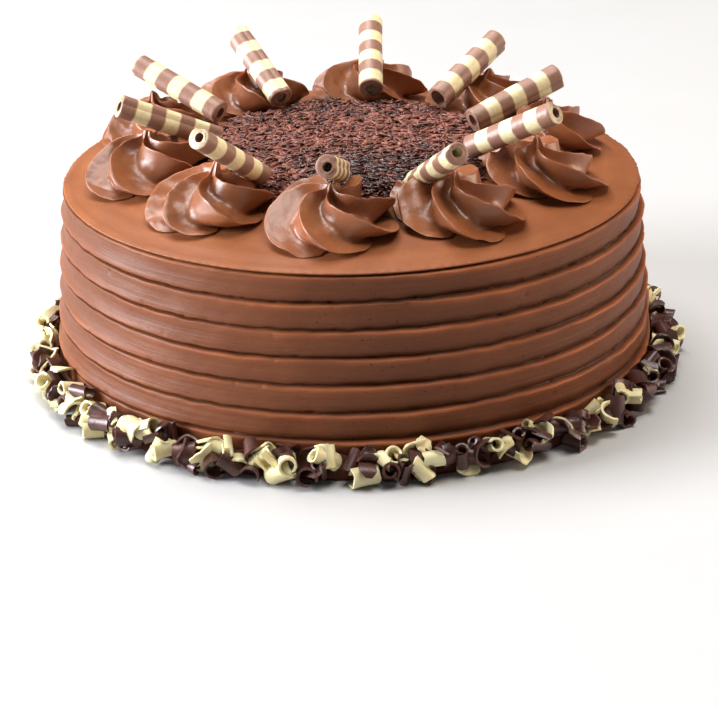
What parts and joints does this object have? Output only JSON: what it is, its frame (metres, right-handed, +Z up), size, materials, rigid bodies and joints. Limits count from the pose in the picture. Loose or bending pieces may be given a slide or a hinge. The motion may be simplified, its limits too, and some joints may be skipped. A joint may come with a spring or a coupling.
{
  "type": "black forest cake",
  "caption": "Round chocolate-iced cake with combed sides, piped swirls, striped chocolate rolls, a bed of sprinkles and a ring of chocolate curls round its foot.",
  "frame": {"origin": "middle of the flat underside of the iced cake, on its axis", "axes": "+Z up along the cake's axis, -Y towards the front of the picture, +X to the right"},
  "size_m": [0.2664, 0.2679, 0.1217],
  "materials": {
    "buttercream": "smooth milk-chocolate buttercream, semi-gloss, combed on the sides",
    "striped_chocolate": "thin rolled chocolate in ivory and brown bands, satin",
    "chocolate_sprinkles": "dark and milk chocolate strands, glossy",
    "chocolate_curls": "dark and ivory chocolate shavings, satin"
  },
  "bodies": {
    "root": {"iced_cake": "buttercream", "rosette_01": "buttercream", "rosette_02": "buttercream", "rosette_03": "buttercream", "rosette_04": "buttercream", "rosette_05": "buttercream", "rosette_06": "buttercream", "rosette_07": "buttercream", "rosette_08": "buttercream", "rosette_09": "buttercream", "rosette_10": "buttercream", "chocolate_roll_01": "striped_chocolate", "chocolate_roll_02": "striped_chocolate", "chocolate_roll_03": "striped_chocolate", "chocolate_roll_04": "striped_chocolate", "chocolate_roll_05": "striped_chocolate", "chocolate_roll_06": "striped_chocolate", "chocolate_roll_07": "striped_chocolate", "chocolate_roll_08": "striped_chocolate", "chocolate_roll_09": "striped_chocolate", "chocolate_roll_10": "striped_chocolate", "sprinkle_bed": "chocolate_sprinkles", "chocolate_curls": "chocolate_curls"}
  },
  "joints": []
}
